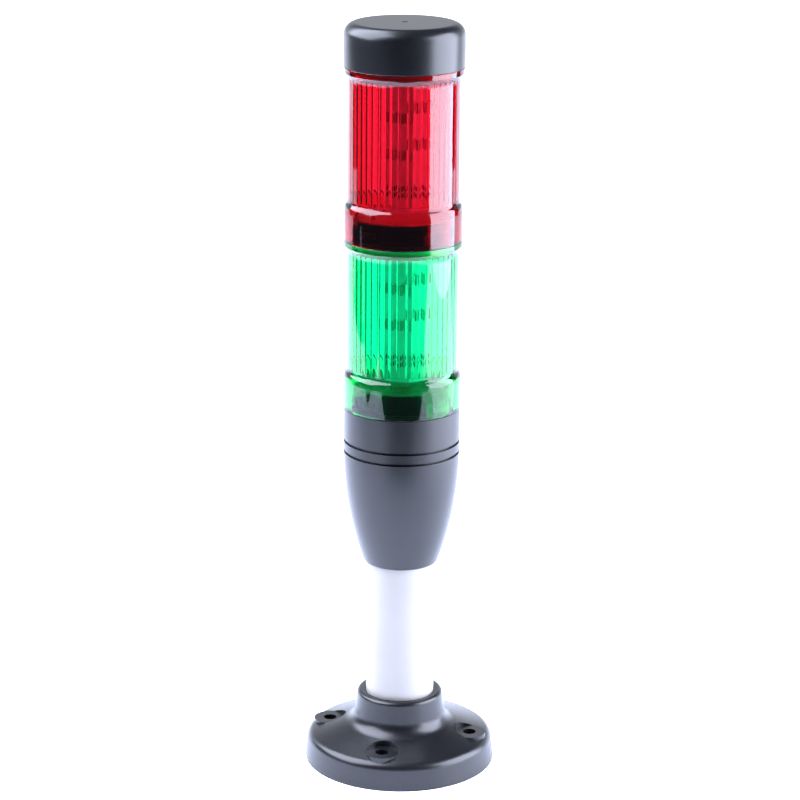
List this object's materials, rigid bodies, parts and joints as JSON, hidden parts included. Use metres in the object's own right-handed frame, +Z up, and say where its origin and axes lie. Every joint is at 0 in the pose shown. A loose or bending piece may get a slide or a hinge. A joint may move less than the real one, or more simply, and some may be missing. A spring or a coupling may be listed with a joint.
{
  "type": "stack light",
  "caption": "Signal tower light: round foot, tube, tapered housing, terminal head, twist-locked red and green lamp modules with ribbed clear lenses, and a black cap.",
  "frame": {"origin": "centre of the foot's underside", "axes": "+Z up along the tower's axis; the foot's screw holes lie on X and Y"},
  "size_m": [0.07, 0.07, 0.2744],
  "materials": {
    "housing_black": "satin moulded black plastic",
    "inner_black": "moulded black plastic",
    "rubber_black": "matt rubber",
    "tube_white": "satin pale anodised tube",
    "screw_steel": "plain steel",
    "block_grey": "grey moulded plastic",
    "contact_brass": "bright brass",
    "green_clear": "clear green plastic, smooth outside and ribbed inside",
    "red_clear": "clear red plastic, smooth outside and ribbed inside",
    "board_green": "circuit board",
    "board_white": "white circuit board",
    "column_white": "white moulded plastic",
    "led_cream": "unlit lamp chips",
    "chip_black": "small black components"
  },
  "bodies": {
    "root": {"foot": "housing_black", "foot_gasket": "rubber_black", "foot_set_screw": "screw_steel", "tube": "tube_white", "base_housing": "housing_black", "housing_set_screw": "screw_steel", "adapter_ring": "housing_black", "adapter_seal": "rubber_black"},
    "head": {"terminal_head": "housing_black", "terminal_block": "block_grey", "wire_clamps": "contact_brass", "terminal_screws": "screw_steel", "head_contacts": "contact_brass", "head_seal": "rubber_black"},
    "green_module": {"green_lens": "green_clear", "green_base": "inner_black", "green_pins": "contact_brass", "green_round_board": "board_green", "green_column": "column_white", "green_led_board_1": "board_white", "green_led_board_2": "board_white", "green_led_board_3": "board_white", "green_led_board_4": "board_white", "green_leds": "led_cream", "green_resistors": "chip_black", "green_bus_wires": "contact_brass", "green_coupling": "inner_black", "green_contacts": "contact_brass", "green_seal": "rubber_black"},
    "red_module": {"red_lens": "red_clear", "red_base": "inner_black", "red_pins": "contact_brass", "red_round_board": "board_green", "red_column": "column_white", "red_led_board_1": "board_white", "red_led_board_2": "board_white", "red_led_board_3": "board_white", "red_led_board_4": "board_white", "red_leds": "led_cream", "red_resistors": "chip_black", "red_bus_wires": "contact_brass", "red_coupling": "inner_black", "red_contacts": "contact_brass", "red_seal": "rubber_black"},
    "cap": {"cap": "housing_black"}
  },
  "joints": [
    {"name": "head_twist", "type": "hinge", "parent": "root", "child": "head", "pos_m": [0, 0, 0.12415], "axis": [0, 0, 1], "range_deg": [0, 20]},
    {"name": "green_module_twist", "type": "hinge", "parent": "head", "child": "green_module", "pos_m": [0, 0, 0.13605], "axis": [0, 0, 1], "range_deg": [0, 20]},
    {"name": "red_module_twist", "type": "hinge", "parent": "green_module", "child": "red_module", "pos_m": [0, 0, 0.1975], "axis": [0, 0, 1], "range_deg": [0, 20]},
    {"name": "cap_twist", "type": "hinge", "parent": "red_module", "child": "cap", "pos_m": [0, 0, 0.25895], "axis": [0, 0, 1], "range_deg": [0, 20]}
  ]
}
